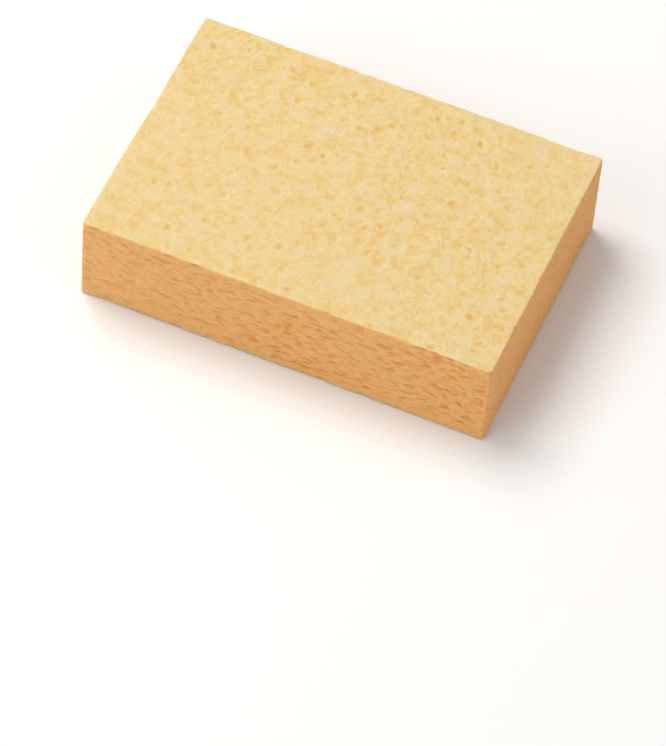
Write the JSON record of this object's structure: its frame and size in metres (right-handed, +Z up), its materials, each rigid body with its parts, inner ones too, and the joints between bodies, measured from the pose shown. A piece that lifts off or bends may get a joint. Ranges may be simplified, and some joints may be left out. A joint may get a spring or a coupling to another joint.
{
  "type": "cleaning sponge",
  "caption": "Rectangular yellow cellulose cleaning sponge, a solid block of open foam with pores cut open on every face.",
  "frame": {"origin": "middle of the underside, on the surface the sponge rests on", "axes": "+X along the length, +Y across the width towards the back long side, +Z up through the thickness"},
  "size_m": [0.152, 0.105, 0.038],
  "materials": {
    "foam": "dry matt cellulose foam, pale yellow skin with orange tan pores"
  },
  "bodies": {
    "root": {"sponge": "foam"}
  },
  "joints": []
}
